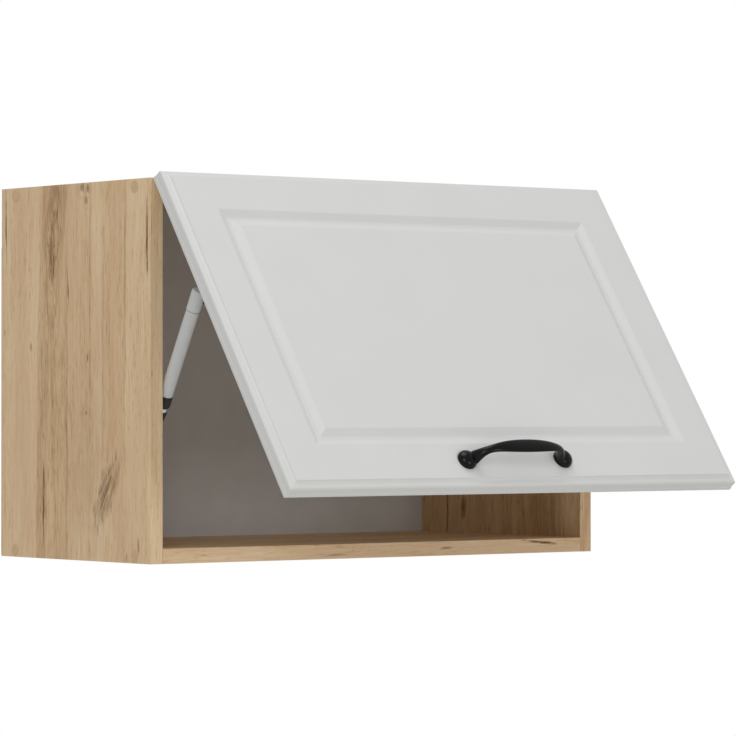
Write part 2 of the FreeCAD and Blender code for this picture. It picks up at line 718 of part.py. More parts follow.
def make_strut_rod(side, sign):
    """Sliding rod of one gas strut, and the eye on its lower end."""
    x = f"{sign} * {STRUT_X}"
    rod_end = f"({STRUT_LEN} - socket_len + rod_bite)"
    rod = disc(f"rod_{side}", "rod_dia / 2", (x, "0", f"-{ROD_START}"), "-z", f"{rod_end} - {ROD_START}")
    sleeve = disc(f"sleeve_{side}", "socket_dia / 2", (x, "0", f"socket_len - {STRUT_LEN}"), "-z", "socket_len")
    eye = disc(f"eye_{side}", "eye_dia / 2", (f"{x} - eye_width / 2", "0", f"-{STRUT_LEN}"), "x", "eye_width")
    hole = disc(f"eye_hole_{side}", "stud_dia / 2 + stud_clearance",
                (f"{x} - eye_width / 2 - overrun", "0", f"-{STRUT_LEN}"), "x", "eye_width + 2 * overrun")
    blank = join(f"rod_end_blank_{side}", sleeve, eye)
    node(on_strut(cut(f"rod_end_{side}", blank, hole, rod)), f"strut_rod_end_{side}")
    node(on_strut(group(f"rod_kept_{side}", [rod])), f"strut_rod_{side}")


def make_strut_seats():
    """Plate and stud that each strut leans on, with screws into its side panel; returns the screws."""
    face = f"({INNER} - seat_thk)"
    tip = f"({STRUT_X} + eye_width / 2 + seat_clearance)"
    screws = []
    blanks = {}
    studs = {}
    for side, sign in STRUT_SIDES.items():
        blanks[side] = block(f"seat_sheet_{side}", mirrored(sign, face, INNER),
                             (f"{SEAT_Y} - seat_width / 2", f"{SEAT_Y} + seat_width / 2"),
                             (f"{SEAT_Z} - seat_height / 2", f"{SEAT_Z} + seat_height / 2"))
        studs[side] = disc(f"seat_stud_{side}", "stud_dia / 2", (f"{sign} * {INNER}", SEAT_Y, SEAT_Z), heading(-sign),
                           f"{INNER} - {tip}")
        for end in ENDS:
            at = (f"{sign} * {face}", SEAT_Y, f"{SEAT_Z} + {end} * seat_screw_pitch / 2")
            screws.append(flush_screw(f"seat_screw_{side}_{end + 1}", "chip", at, heading(sign)))
    fasteners = node(group("seat_fasteners", screws), "strut_side_screws")
    for side in STRUT_SIDES:
        stud = node(studs[side], f"strut_side_stud_{side}")
        node(cut(f"seat_{side}", blanks[side], stud, fasteners), f"strut_side_plate_{side}")
    return fasteners


def make_boards(fasteners):
    """Sides, top, bottom, edge bands and back panel."""
    depth = (BOARD_FRONT, REAR)
    tool = group("carcass_fasteners", fasteners)
    strips = []
    for side, sign in SIDES.items():
        x = mirrored(sign, INNER, OUTER)
        board = block(f"side_board_{side}", x, depth, (f"-{TOP}", TOP))
        node(cut(f"side_{side}", board, tool), f"{side}_side_panel")
        strips.append(block(f"side_strip_{side}", x, (FRONT, BOARD_FRONT), (f"-{TOP}", TOP)))
    for name, z in (("top", (CEILING, TOP)), ("bottom", (f"-{TOP}", f"-{CEILING}"))):
        x = (f"-{INNER}", INNER)
        node(cut(name, block(f"{name}_board", x, depth, z), tool), f"{name}_panel")
        strips.append(block(f"{name}_strip", x, (FRONT, BOARD_FRONT), z))
    node(group("strips", strips), "edge_bands")
    edge_x = f"({OUTER} - back_inset)"
    edge_z = f"({TOP} - back_inset)"
    sheet = block("back_sheet", (f"-{edge_x}", edge_x), (REAR, "0"), (f"-{edge_z}", edge_z))
    notches = [block(f"back_notch_{side}", mirrored(sign, f"{OUTER} - hanger_edge - hanger_size - notch_gap",
                                                    f"{OUTER} + overrun"),
                     (f"{REAR} - overrun", "overrun"),
                     (f"{TOP} - hanger_edge - hanger_size - notch_gap", f"{TOP} + overrun"))
               for side, sign in SIDES.items()]
    node(cut("back", sheet, tool, *notches), "back_panel")


def check_shapes():
    """Stops the build if any object failed or any sub-part is not a sound solid."""
    doc.recompute()
    for item in doc.Objects:
        if "Invalid" in item.State or "Error" in item.State:
            raise RuntimeError(f"{item.Label} failed: {item.State}")
    for item in nodes:
        if item.Shape.isNull() or not item.Shape.isValid() or not item.Shape.Solids:
            raise RuntimeError(f"{item.Label} is not a sound solid")


def write_nodes():
    """Writes each sub-part to its own file."""
    os.makedirs("parts", exist_ok=True)
    for item in nodes:
        item.Shape.exportStep(f"parts/{item.Label}.step")
        print(f"{item.Label}: {len(item.Shape.Solids)} solids, {item.Shape.Volume:.0f} cubic millimetres")


fill_sheet()
dowels, connecting_screws = make_joints()
carcass_fasteners = [dowels, connecting_screws, make_nails(), make_hangers()]
plate_screws, web_screws = make_hinge_plates()
make_hinge_arms(web_screws)
make_straps()
carcass_fasteners += [plate_screws, make_strut_seats()]
make_boards(carcass_fasteners)
flap_tools = [make_handle(), make_flap_brackets()] + make_cups()
make_flap(flap_tools)
make_bumpers()
for side, sign in STRUT_SIDES.items():
    make_strut_cylinder(side, sign)
    make_strut_rod(side, sign)
check_shapes()
write_nodes()
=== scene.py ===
"""Looks of a kitchen wall cabinet with a lift-up flap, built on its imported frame.

Lengths are in millimetres in the classes and become metres where a mesh is made.
"""

import json
import logging
import math
from collections.abc import Callable, Sequence
from dataclasses import dataclass, field
from enum import Enum

import bmesh
import bpy
from mathutils import Matrix, Vector


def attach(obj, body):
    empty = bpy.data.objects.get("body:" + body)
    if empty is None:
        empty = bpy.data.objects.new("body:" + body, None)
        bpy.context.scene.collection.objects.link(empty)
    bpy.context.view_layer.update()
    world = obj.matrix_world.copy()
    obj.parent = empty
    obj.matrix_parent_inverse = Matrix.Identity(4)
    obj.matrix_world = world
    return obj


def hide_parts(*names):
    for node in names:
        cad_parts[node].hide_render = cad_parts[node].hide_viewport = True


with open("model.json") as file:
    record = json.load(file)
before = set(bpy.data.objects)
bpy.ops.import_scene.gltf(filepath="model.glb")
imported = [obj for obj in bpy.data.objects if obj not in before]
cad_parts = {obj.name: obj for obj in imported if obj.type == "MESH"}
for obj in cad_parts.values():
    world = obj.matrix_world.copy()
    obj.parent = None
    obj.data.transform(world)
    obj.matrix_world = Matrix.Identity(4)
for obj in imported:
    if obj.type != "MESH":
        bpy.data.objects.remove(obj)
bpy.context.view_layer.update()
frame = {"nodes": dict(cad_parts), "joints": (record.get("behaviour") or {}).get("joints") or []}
LOG = logging.getLogger("wall_cabinet")
MM = 0.001
IMAGE_PX = 736
SENSOR_MM = 36.0
QUARTER_TURN = math.pi / 2
# Places that lie nearer to each other than this, in millimetres, count as one.
CLOSE = 0.02
# A face whose normal goes this far along an axis faces that way.
FACING = 0.9

Point = tuple[float, float, float]
Span = tuple[float, float]
Setting = bool | float | str | tuple | list
Tree = bpy.types.NodeTree
Socket = bpy.types.NodeSocket
Piece = bpy.types.Object
Material = bpy.types.Material
Test = Callable[[Vector, Vector], bool]
# The width of a rounding in millimetres, and how many faces it has.
Rounding = tuple[float, int]


class Side(Enum):
    """The two ends of the cabinet."""

    LEFT = -1
    RIGHT = 1

    @property
    def word(self) -> str:
        """The side's name as the nodes have it."""
        return self.name.lower()


class Grain(Enum):
    """Which way the oak's grain runs on a board."""

    UPRIGHT = "upright"
    LEVEL = "level"


def linear(hex_colour: str) -> tuple[float, float, float, float]:
    """Turns an sRGB hex colour to linear light.

    Args:
        hex_colour: Six hex digits with a hash sign before them.

    Returns:
        Red, green, blue and an alpha of one.
    """
    channels = [int(hex_colour[place:place + 2], 16) / 255 for place in (1, 3, 5)]
    red, green, blue = (c / 12.92 if c <= 0.04045 else ((c + 0.055) / 1.055) ** 2.4 for c in channels)
    return red, green, blue, 1.0


def add_node(tree: Tree, kind: str, settings: dict[str | int, Setting] | None = None,
             links: dict[str | int, Socket] | None = None) -> bpy.types.Node:
    """Adds one node with its settings and links.

    Args:
        tree: The node tree that gets the node.
        kind: Blender's name of the node type.
        settings: Values by input name or number, or by property name; stops fills a colour ramp.
        links: Sockets that feed the node's inputs, by input name or number.

    Returns:
        The new node.
    """
    node = tree.nodes.new(kind)
    for key, value in (settings or {}).items():
        if key == "stops":
            ramp = node.color_ramp
            for place, colour in value[1:-1]:
                ramp.elements.new(place).color = colour
            for end, (place, colour) in ((0, value[0]), (-1, value[-1])):
                ramp.elements[end].position = place
                ramp.elements[end].color = colour
        elif isinstance(key, int) or key in node.inputs:
            node.inputs[key].default_value = value
        else:
            setattr(node, key, value)
    for key, socket in (links or {}).items():
        tree.links.new(socket, node.inputs[key])
    return node


def maths(tree: Tree, operation: str, *terms: Socket | float) -> Socket:
    """Adds a sum of numbers.

    Args:
        tree: The node tree that gets the sum.
        operation: Blender's name of the sum.
        terms: The sockets and numbers that it takes, in order.

    Returns:
        The result.
    """
    settings, links = {"operation": operation}, {}
    for place, term in enumerate(terms):
        (links if isinstance(term, Socket) else settings)[place] = term
    return add_node(tree, "ShaderNodeMath", settings, links).outputs[0]


def remap(tree: Tree, value: Socket, source: Span, target: Span = (0.0, 1.0), **extra: Setting) -> Socket:
    """Adds a change of range.

    Args:
        tree: The node tree that gets it.
        value: The value that changes.
        source: The range that the value comes from.
        target: The range that it goes to.
        extra: Other settings of the node.

    Returns:
        The changed value.
    """
    settings = {"From Min": source[0], "From Max": source[1], "To Min": target[0], "To Max": target[1], **extra}
    return add_node(tree, "ShaderNodeMapRange", settings, {"Value": value}).outputs[0]


def mix_colours(tree: Tree, share: Socket, first: Socket | str, second: Socket | str) -> Socket:
    """Adds a mix of two colours.

    Args:
        tree: The node tree that gets it.
        share: How much of the second colour there is.
        first: The first colour, as a socket or in hex.
        second: The second colour, as a socket or in hex.

    Returns:
        The mixed colour.
    """
    settings, links = {"data_type": "RGBA"}, {0: share}
    for place, colour in ((6, first), (7, second)):
        if isinstance(colour, str):
            settings[place] = linear(colour)
        else:
            links[place] = colour
    return add_node(tree, "ShaderNodeMix", settings, links).outputs[2]


def open_material(name: str) -> tuple[Material, Tree, bpy.types.Node]:
    """Starts a material that holds one surface shader.

    Args:
        name: The material's name.

    Returns:
        The material, its node tree and its surface shader.
    """
    material = bpy.data.materials.new(name)
    material.use_nodes = True
    tree = material.node_tree
    return material, tree, tree.nodes["Principled BSDF"]


@dataclass(frozen=True)
class Mark:
    """A knot, a crack or a darker patch in the oak decor.

    across and along place its middle, half_width and half_length give its size, lean turns it from the grain in
    degrees, depth is how dark it is, and spread is how far the grain bends around it, in its own half widths. A mark
    with fibres is a bundle of dark lines. A mark on an edge has its across in the board's thickness.
    """

    across: float
    along: float
    half_width: float
    half_length: float
    lean: float = 0.0
    depth: float = 1.0
    spread: float = 0.0
    fibres: bool = False
    on_edge: bool = False


@dataclass(frozen=True)
class Streak:
    """One kind of streak along the grain.

    width and length are in millimetres, detail is the number of finer octaves, used is the part of the noise's range
    that counts, and weight is its part in the tone.
    """

    width: float
    length: float
    detail: float
    used: Span = (0.0, 1.0)
    weight: float = 0.0


@dataclass(frozen=True)
class OakDecor:
    """Knotty oak print under melamine: satin, with staves of unlike tone, soft figure, open pores and knots."""

    name: str
    grain: Grain
    staves: tuple[Span, ...]
    marks: tuple[Mark, ...] = ()
    depth: float = 290.0
    dark: str = "#A98457"
    middle: str = "#E3C297"
    light: str = "#F2DBB9"
    warm: str = "#CC9F74"
    mark: str = "#6A3E0C"

    # The finest streaks of real oak are a fraction of a millimetre wide; here they are drawn coarser so that they
    # still show from across a room.
    figure: tuple[Streak, ...] = (
        Streak(17, 210, 2.0, weight=0.75), Streak(5, 110, 2.0, weight=0.5), Streak(2.0, 34, 3.0, weight=0.8))
    sway: Streak = Streak(70, 260, 2.0, (0.3, 0.7))
    blush: Streak = Streak(34, 300, 2.0, (0.4, 0.7))
    pores: Streak = Streak(1.3, 24, 2.0, (0.35, 0.65))
    specks: Streak = Streak(1.3, 13, 1.0, (0.58, 0.72))
    fibres: Streak = Streak(2.6, 22, 2.0, (0.45, 0.58))
    fray: Streak = Streak(3, 20, 3.0)
    noise_roughness: float = 0.55
    # How far the grain sways and how deep its pores are, in millimetres.
    sway_reach: float = 5.0
    pore_depth: float = 0.06
    pore_relief: float = 0.35
    pore_gloss: Span = (0.6, 0.5)
    speck_tone: float = -0.3
    blush_share: float = 0.4
    ior: float = 1.5
    # Half the width of the seam between two staves, as a share of the board's depth.
    seam: float = 0.006
    # Marks, in their own half widths: how far the fray reaches, where the outline fades, and the pace of the rings.
    fray_reach: float = 2.2
    mark_fade: Span = (1.1, 2.1)
    ring_pace: float = 4.0
    ring_crest: Span = (0.1, 1.0)
    ring_depth: float = 0.45
    fibre_gap: float = 0.15
    grain_push: float = -0.7

    def make(self) -> Material:
        """Builds the material.

        Returns:
            The finished material.
        """
        material, tree, shader = open_material(self.name)
        place = add_node(tree, "ShaderNodeSeparateXYZ", links={
            0: add_node(tree, "ShaderNodeTexCoord").outputs["Object"]})
        run, through = ("Z", "X") if self.grain is Grain.UPRIGHT else ("X", "Z")
        board = add_node(tree, "ShaderNodeCombineXYZ", links={
            "X": place.outputs["Y"], "Y": place.outputs[through], "Z": place.outputs[run]}).outputs[0]
        fray = self.layer(tree, board, self.fray)
        reach = self.sway_reach * MM
        shift = remap(tree, self.layer(tree, board, self.sway), self.sway.used, (-reach, reach), clamp=False)
        stains = []
        for mark in self.marks:
            stain, push = self.trace(tree, board, fray, mark)
            stains.append(stain)
            if push is not None:
                shift = maths(tree, "ADD", shift, push)
        bent = add_node(tree, "ShaderNodeVectorMath", {"operation": "ADD"}, {
            0: board, 1: add_node(tree, "ShaderNodeCombineXYZ", links={"X": shift}).outputs[0]}).outputs[0]
        colour = add_node(tree, "ShaderNodeValToRGB", {"stops": [
            (0.0, linear(self.dark)), (0.5, linear(self.middle)), (1.0, linear(self.light))]},
            {"Fac": self.tone(tree, bent)}).outputs[0]
        blush = remap(tree, self.layer(tree, bent, self.blush), self.blush.used, (0.0, self.blush_share))
        colour = mix_colours(tree, blush, colour, self.warm)
        for stain in stains:
            colour = mix_colours(tree, stain, colour, self.mark)
        tree.links.new(colour, shader.inputs["Base Color"])
        pores = self.layer(tree, bent, self.pores)
        tree.links.new(remap(tree, pores, self.pores.used, self.pore_gloss), shader.inputs["Roughness"])
        relief = add_node(tree, "ShaderNodeBump", {"Strength": self.pore_relief, "Distance": self.pore_depth * MM},
                          {"Height": pores})
        tree.links.new(relief.outputs[0], shader.inputs["Normal"])
        shader.inputs["IOR"].default_value = self.ior
        return material

    def layer(self, tree: Tree, board: Socket, streak: Streak) -> Socket:
        """Adds noise that is drawn out along the grain.

        Args:
            tree: The material's node tree.
            board: The place on the board, with the grain along its third number.
            streak: The size and detail of the streaks.

        Returns:
            The noise, from zero to one.
        """
        across, along = 1 / (streak.width * MM), 1 / (streak.length * MM)
        size = (across, across, along)
        scaled = add_node(tree, "ShaderNodeVectorMath", {"operation": "MULTIPLY", 1: size}, {0: board})
        return add_node(tree, "ShaderNodeTexNoise", {
            "Scale": 1.0, "Detail": streak.detail, "Roughness": self.noise_roughness},
            {"Vector": scaled.outputs[0]}).outputs["Fac"]

    def tone(self, tree: Tree, bent: Socket) -> Socket:
        """Adds up the staves, the broad figure, the fine grain and the pores.

        Args:
            tree: The material's node tree.
            bent: The place on the board, bent around its knots.

        Returns:
            The tone of the wood, from zero to one.
        """
        across = add_node(tree, "ShaderNodeSeparateXYZ", links={0: bent}).outputs["X"]
        share = remap(tree, across, (-self.depth * MM, 0.0))
        stops = []
        for (start, level), (end, _) in zip(self.staves, self.staves[1:]):
            grey = (level, level, level, 1.0)
            stops += [(start / self.depth + self.seam, grey), (end / self.depth - self.seam, grey)]
        last = self.staves[-1][1]
        stops.append((1.0, (last, last, last, 1.0)))
        total = add_node(tree, "ShaderNodeValToRGB", {"stops": stops}, {"Fac": share}).outputs[0]
        for streak in self.figure:
            noise = self.layer(tree, bent, streak)
            total = maths(tree, "ADD", total, maths(tree, "MULTIPLY_ADD", noise, streak.weight, -0.5 * streak.weight))
        specks = remap(tree, self.layer(tree, bent, self.specks), self.specks.used, (0.0, self.speck_tone))
        return maths(tree, "ADD", total, specks)

    def trace(self, tree: Tree, board: Socket, fray: Socket, mark: Mark) -> tuple[Socket, Socket | None]:
        """Adds one knot, crack or patch.

        Args:
            tree: The material's node tree.
            board: The place on the board.
            fray: Noise that frays the mark's outline.
            mark: The mark.

        Returns:
            How dark the mark is at each place, and how far it pushes the grain aside, or None.
        """
        flat = (0.0, mark.across * MM) if mark.on_edge else (mark.across * MM, 0.0)
        wide, long = 1 / (mark.half_width * MM), 1 / (mark.half_length * MM)
        offset = add_node(tree, "ShaderNodeVectorMath", {
            "operation": "SUBTRACT", 1: (*flat, mark.along * MM)}, {0: board}).outputs[0]
        turned = add_node(tree, "ShaderNodeVectorRotate", {
            "rotation_type": "X_AXIS" if mark.on_edge else "Y_AXIS", "Angle": math.radians(mark.lean)},
            {"Vector": offset}).outputs[0]
        scaled = add_node(tree, "ShaderNodeVectorMath", {
            "operation": "MULTIPLY", 1: (0.0, wide, long) if mark.on_edge else (wide, 0.0, long)}, {0: turned})
        distance = add_node(tree, "ShaderNodeVectorMath", {"operation": "LENGTH"}, {
            0: scaled.outputs[0]}).outputs["Value"]
        ragged = maths(tree, "MULTIPLY_ADD", fray, self.fray_reach, distance)
        stain = remap(tree, ragged, self.mark_fade, (mark.depth, 0.0), interpolation_type="SMOOTHSTEP")
        if mark.fibres:
            fibre = remap(tree, self.layer(tree, turned, self.fibres), self.fibres.used, (self.fibre_gap, 1.0))
            stain = maths(tree, "MULTIPLY", stain, fibre)
        if not mark.spread:
            return stain, None
        halo = remap(tree, distance, (0.0, mark.spread), (1.0, 0.0), interpolation_type="SMOOTHSTEP")
        wave = maths(tree, "SINE", maths(tree, "MULTIPLY_ADD", ragged, self.ring_pace, distance))
        crest = remap(tree, wave, self.ring_crest, (0.0, self.ring_depth * mark.depth))
        side = add_node(tree, "ShaderNodeSeparateXYZ", links={0: offset}).outputs["X"]
        push = maths(tree, "MULTIPLY", maths(tree, "MULTIPLY", halo, side), self.grain_push)
        return maths(tree, "MULTIPLY_ADD", crest, halo, stain), push


@dataclass(frozen=True)
class MottledFinish:
    """A plain finish whose colour, gloss and relief vary finely.

    light and dark are the two tones, mottle is the size of the cloudy tone change, grit the size of the fine relief,
    stretch draws the grit out along an axis, and rear gives the two tones of a board's unfinished rear.
    """

    name: str
    light: str
    dark: str
    roughness: Span
    mottle: float
    grit: float
    relief: float
    metallic: float = 0.0
    ior: float = 1.5
    stretch: Point = (1.0, 1.0, 1.0)
    rear: tuple[str, str] | None = None

    cloud_detail: float = 3.0
    grit_detail: float = 2.0
    # The grit's part in the tone, and the parts of both ranges of noise that count.
    grit_share: float = 0.35
    tone_used: Span = (0.45, 0.9)
    grit_used: Span = (0.3, 0.7)
    # How deep the grit is, and between which depths a board's face gives way to its rear, in millimetres.
    grit_depth: float = 0.05
    rear_seam: Span = (-1.6, -1.4)

    def make(self) -> Material:
        """Builds the material.

        Returns:
            The finished material.
        """
        material, tree, shader = open_material(self.name)
        place = add_node(tree, "ShaderNodeTexCoord").outputs["Object"]
        cloud = add_node(tree, "ShaderNodeTexNoise", {"Scale": 1 / (self.mottle * MM), "Detail": self.cloud_detail},
                         {"Vector": place}).outputs["Fac"]
        sized = add_node(tree, "ShaderNodeVectorMath", {"operation": "MULTIPLY", 1: tuple(
            1 / (self.grit * MM * s) for s in self.stretch)}, {0: place})
        grit = add_node(tree, "ShaderNodeTexNoise", {"Scale": 1.0, "Detail": self.grit_detail},
                        {"Vector": sized.outputs[0]}).outputs["Fac"]
        level = remap(tree, maths(tree, "MULTIPLY_ADD", grit, self.grit_share, cloud), self.tone_used)
        colour = mix_colours(tree, level, self.dark, self.light)
        if self.rear is not None:
            front, back = self.rear_seam
            deep = add_node(tree, "ShaderNodeSeparateXYZ", links={0: place}).outputs["Y"]
            raw = mix_colours(tree, level, self.rear[1], self.rear[0])
            colour = mix_colours(tree, remap(tree, deep, (front * MM, back * MM)), colour, raw)
        tree.links.new(colour, shader.inputs["Base Color"])
        tree.links.new(remap(tree, grit, self.grit_used, self.roughness), shader.inputs["Roughness"])
        bump = add_node(tree, "ShaderNodeBump", {"Strength": self.relief, "Distance": self.grit_depth * MM},
                        {"Height": grit})
        tree.links.new(bump.outputs[0], shader.inputs["Normal"])
        shader.inputs["Metallic"].default_value = self.metallic
        if not self.metallic:
            shader.inputs["IOR"].default_value = self.ior
        return material


def start_piece(piece: Piece | None = None) -> None:
    """Leaves edit mode and clears the selection.

    Args:
        piece: A piece that becomes the selected and active one, or None.
    """
    if bpy.context.mode != "OBJECT":
        bpy.ops.object.mode_set(mode="OBJECT")
    bpy.ops.object.select_all(action="DESELECT")
    if piece is not None:
        piece.select_set(True)
        bpy.context.view_layer.objects.active = piece


def settle(piece: Piece, pose: Matrix | None = None) -> Piece:
    """Puts a piece in its place and moves that place into its mesh.

    Args:
        piece: The piece, in the frame of its sub-assembly.
        pose: Where that frame stands in the cabinet; None keeps the piece where it is.

    Returns:
        The same piece.
    """
    start_piece(piece)
    if pose is not None:
        piece.matrix_world = pose @ piece.matrix_world
    bpy.ops.object.transform_apply(location=True, rotation=True, scale=True)
    return piece


def named(name: str) -> Piece:
    """Gives the new active object and its mesh a name, and settles it.

    Args:
        name: The name.

    Returns:
        The object.
    """
    piece = bpy.context.active_object
    piece.name = piece.data.name = name
    return settle(piece)


def add_block(name: str, low: Point, high: Point) -> Piece:
    """Starts a piece from a box.

    Args:
        name: The piece's name.
        low: Its lowest corner in millimetres.
        high: Its highest corner in millimetres.

    Returns:
        The new piece.
    """
    start_piece()
    middle = [(a + b) / 2 * MM for a, b in zip(low, high)]
    bpy.ops.mesh.primitive_cube_add(size=1.0, location=middle, scale=[(b - a) * MM for a, b in zip(low, high)])
    return named(name)


def add_turned(name: str, profile: Sequence[Span], sides: int = 48) -> Piece:
    """Starts a round piece about the upright axis by drawing a disc out and in, ring by ring.

    Args:
        name: The piece's name.
        profile: Radius and height of each ring in millimetres.
        sides: How many corners a ring has.

    Returns:
        The new piece, closed at both ends.
    """
    start_piece()
    radius, height = profile[0]
    bpy.ops.mesh.primitive_circle_add(
        vertices=sides, radius=radius * MM, fill_type="NGON", location=(0, 0, height * MM))
    piece = named(name)
    bpy.ops.object.mode_set(mode="EDIT")
    bpy.ops.mesh.select_all(action="SELECT")
    for wide, level in profile[1:]:
        bpy.ops.mesh.extrude_region_move(TRANSFORM_OT_translate={"value": (0, 0, (level - height) * MM)})
        share = wide / radius
        bpy.ops.transform.resize(value=(share, share, 1), center_override=(0, 0, level * MM))
        radius, height = wide, level
    bpy.ops.mesh.select_all(action="SELECT")
    bpy.ops.mesh.normals_make_consistent(inside=False)
    bpy.ops.object.mode_set(mode="OBJECT")
    return piece


def open_mesh(piece: Piece, kind: str) -> bmesh.types.BMesh:
    """Opens a piece in edit mode with nothing picked.

    Args:
        piece: The piece.
        kind: Blender's name of what is picked next, FACE or EDGE.

    Returns:
        The open mesh.
    """
    start_piece(piece)
    bpy.ops.object.mode_set(mode="EDIT")
    bpy.ops.mesh.select_mode(type=kind)
    bpy.ops.mesh.select_all(action="DESELECT")
    return bmesh.from_edit_mesh(piece.data)


def bevel_edges(piece: Piece, wanted: Test, width: float, steps: int) -> None:
    """Rounds some edges of a piece.

    Args:
        piece: The piece.
        wanted: Says of an edge's two ends, in metres, whether it is rounded.
        width: Width of the rounding in millimetres.
        steps: How many faces the rounding has.
    """
    mesh = open_mesh(piece, "EDGE")
    for edge in mesh.edges:
        edge.select_set(wanted(edge.verts[0].co, edge.verts[1].co))
    bmesh.update_edit_mesh(piece.data)
    bpy.ops.mesh.bevel(offset=width * MM, offset_type="OFFSET", segments=steps, affect="EDGES")
    bpy.ops.object.mode_set(mode="OBJECT")


def carve(piece: Piece, cutter: Piece) -> None:
    """Takes a cutter's shape out of a piece and removes the cutter.

    Args:
        piece: The piece.
        cutter: The shape that is taken out.
    """
    start_piece(piece)
    cut = piece.modifiers.new("cut", "BOOLEAN")
    cut.operation, cut.solver, cut.object = "DIFFERENCE", "EXACT", cutter
    bpy.ops.object.modifier_apply(modifier=cut.name)
    bpy.data.objects.remove(cutter)


def fuse(name: str, pieces: Sequence[Piece]) -> Piece:
    """Joins several pieces into one object.

    Args:
        name: The joined piece's name.
        pieces: The pieces, the first of which stays.

    Returns:
        The joined piece.
    """
    start_piece()
    for piece in pieces:
        piece.select_set(True)
    bpy.context.view_layer.objects.active = pieces[0]
    bpy.ops.object.join()
    return named(name)


def copies(piece: Piece, places: Sequence[Matrix]) -> list[Piece]:
    """Copies a piece with its own mesh to each place, and removes the pattern.

    Args:
        piece: The pattern.
        places: Where each copy stands.

    Returns:
        The copies.
    """
    made = []
    for place in places:
        twin = piece.copy()
        twin.data = piece.data.copy()
        bpy.context.scene.collection.objects.link(twin)
        made.append(settle(twin, place))
    bpy.data.objects.remove(piece)
    return made


def smooth(piece: Piece, degrees: float = 35.0) -> None:
    """Smooths the shading of roundings and keeps wide faces flat.

    Args:
        piece: The piece.
        degrees: Edges that turn by more than this angle stay sharp.
    """
    start_piece(piece)
    bpy.ops.object.shade_smooth_by_angle(angle=math.radians(degrees))
    weigh = piece.modifiers.new("weigh", "WEIGHTED_NORMAL")
    weigh.weight, weigh.keep_sharp = 100, True
    bpy.ops.object.modifier_apply(modifier=weigh.name)


def install(piece: Piece, material: Material | None, body: str, slot: str, *nodes: str) -> None:
    """Gives a finished piece its finish, its body and the nodes that it stands for.

    Args:
        piece: The finished piece.
        material: Its finish, or None where it already has one.
        body: The body that carries it.
        slot: The record's material slot; not used.
        nodes: The nodes that it replaces.
    """
    if material is not None:
        piece.data.materials.clear()
        piece.data.materials.append(material)
    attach(piece, body)
    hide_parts(*nodes)
    LOG.info("%s: %d faces on %s", piece.name, len(piece.data.polygons), body)


def dress(material: Material, *nodes: str) -> None:
    """Gives nodes of the frame a finish.

    Args:
        material: The finish.
        nodes: The nodes' names.
    """
    for name in nodes:
        for slot in frame["nodes"][name].material_slots:
            slot.material = material
        LOG.info("%s: %s", name, material.name)


def joint_place(name: str) -> Vector:
    """Where a joint of the frame lies at rest, in metres."""
    return Vector(next(j["pos_m"] for j in frame["joints"] if j["name"] == name))


# Left side: staves and marks follow the photographed board. Staves start at distances from the front edge; marks lie
# in the cabinet's own frame.
LEFT_STAVES = ((0, 0.66), (12, 0.70), (47, 0.54), (88, 0.62), (113, 0.56), (157, 0.40), (212, 0.66), (276, 0.56),
               (290, 0.5))
LEFT_MARKS = (
    Mark(-168, -95, 70, 150, 0, 0.14),
    Mark(-103.5, 126, 6, 40, 1, 0.95, 4.5, fibres=True),
    Mark(-107, 176, 12, 28, 8, 0.5, 3.0, fibres=True),
    Mark(-209, -128, 18, 47, 31, 0.75, 1.6, fibres=True),
    Mark(-205, -134, 8, 30, 31, 0.55, fibres=True),
    Mark(-243, 110, 2.2, 190, 0, 0.36),
    Mark(-177, 90, 2.4, 210, 0, 0.34),
    Mark(-202, 20, 2.2, 240, 0, 0.26),
    Mark(-133, -30, 2.4, 260, 0, 0.26),
    Mark(-284, 139, 2.6, 70, 0, 1.0),
    Mark(-87, -140, 2.6, 68, 0, 1.0),
    Mark(-12, 160, 2.6, 48, 0, 0.85),
    Mark(-135, 86, 2.6, 20, 0, 0.75),
    Mark(-162, 195, 4.5, 6, 0, 0.75, 3.0),
    Mark(-173, 194, 3.6, 5, 0, 0.7, 3.0),
    Mark(-169.5, 181, 3.6, 5, 0, 0.6, 3.0),
    Mark(-62, 27, 3.0, 7, 0, 0.55),
    Mark(-173, 15, 1.9, 9, 0, 0.95),
    Mark(-170, -44, 2.2, 3.4, 0, 1.0),
    Mark(-268, -181, 3.0, 11, -8, 0.6),
    Mark(-247, -194, 3.0, 10, 6, 0.5),
)
# Right side: staves start at distances from the front edge. The first three are set darker than the wood: painted
# shade for the dim front of the inner wall, which the outer face carries too; the rest are the board's own stave
# tones.
RIGHT_STAVES_AND_PAINTED_SHADE = ((0, 0.4), (40, 0.26), (101, 0.3), (139, 0.5), (186, 0.6), (242, 0.48), (290, 0.6))
RIGHT_MARKS = (
    Mark(-51, -160, 2.8, 60, 0, 0.9),
    Mark(-82, -154, 6, 16, 6, 0.75, 3.5),
    Mark(-208, 62, 9, 30, 20, 0.75, 3.0),
    Mark(-118, 46, 3.2, 70, 0, 0.85),
    Mark(-246, -88, 5, 17, -8, 0.7, 3.5),
)
BOTTOM_STAVES = ((0, 0.6), (62, 0.48), (118, 0.62), (177, 0.52), (232, 0.64), (290, 0.6))
BOTTOM_MARKS = (
    Mark(-188.3, 227, 2.4, 34, -5.4, 1.0, on_edge=True),
    Mark(-192, 90, 1.8, 14, 4, 0.6, on_edge=True),
    Mark(-196, -60, 1.8, 20, 0, 0.5, on_edge=True),
    Mark(-145, -110, 8, 30, 9, 0.75, 3.0),
    Mark(-60, 150, 3.2, 60, 0, 0.8),
    Mark(-228, 40, 4, 12, 0, 0.7, 3.0),
)
TOP_STAVES = ((0, 0.62), (71, 0.52), (129, 0.6), (188, 0.46), (240, 0.6), (290, 0.6))
TOP_MARKS = (
    Mark(-92, 130, 9, 32, -14, 0.75, 3.0),
    Mark(-214, -150, 3.2, 74, 0, 0.85),
    Mark(-170, -20, 4, 12, 0, 0.7, 3.0),
)

